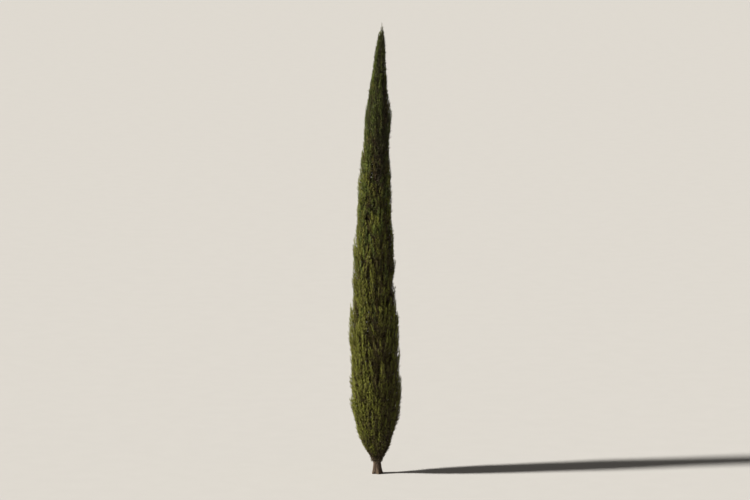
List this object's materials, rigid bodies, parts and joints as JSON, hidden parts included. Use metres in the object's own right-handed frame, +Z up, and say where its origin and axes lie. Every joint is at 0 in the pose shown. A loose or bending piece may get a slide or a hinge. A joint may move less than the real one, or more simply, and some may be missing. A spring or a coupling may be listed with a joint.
{
  "type": "pencil cypress tree",
  "caption": "Slim upright pencil cypress with a fluted trunk, short steep boughs and dense dark green flame-like foliage from near the ground to a pointed tip.",
  "frame": {"origin": "middle of the trunk's flat cut at ground level", "axes": "+Z up along the trunk; the picture is seen from -Y, looking along +Y, with +X to the right"},
  "size_m": [1.3889, 1.4006, 12],
  "materials": {
    "bark": "rough, fissured grey-brown bark",
    "foliage": "matt dark olive-green scale leaves"
  },
  "bodies": {
    "root": {"bough_foot_1": "bark", "bough_foot_2": "bark", "bough_foot_3": "bark", "bough_foot_4": "bark", "bough_foot_5": "bark", "bough_lower_1": "bark", "bough_lower_2": "bark", "bough_lower_3": "bark", "bough_lower_4": "bark", "bough_lower_5": "bark", "bough_middle_1": "bark", "bough_middle_2": "bark", "bough_middle_3": "bark", "bough_middle_4": "bark", "bough_middle_5": "bark", "bough_top_1": "bark", "bough_top_2": "bark", "bough_top_3": "bark", "bough_upper_1": "bark", "bough_upper_2": "bark", "bough_upper_3": "bark", "bough_upper_4": "bark", "bough_upper_5": "bark", "foliage_foot_1": "foliage", "foliage_foot_2": "foliage", "foliage_foot_3": "foliage", "foliage_foot_4": "foliage", "foliage_foot_5": "foliage", "foliage_leader": "foliage", "foliage_lower_1": "foliage", "foliage_lower_2": "foliage", "foliage_lower_3": "foliage", "foliage_lower_4": "foliage", "foliage_lower_5": "foliage", "foliage_middle_1": "foliage", "foliage_middle_2": "foliage", "foliage_middle_3": "foliage", "foliage_middle_4": "foliage", "foliage_middle_5": "foliage", "foliage_top_1": "foliage", "foliage_top_2": "foliage", "foliage_top_3": "foliage", "foliage_upper_1": "foliage", "foliage_upper_2": "foliage", "foliage_upper_3": "foliage", "foliage_upper_4": "foliage", "foliage_upper_5": "foliage", "trunk": "bark"}
  },
  "joints": []
}
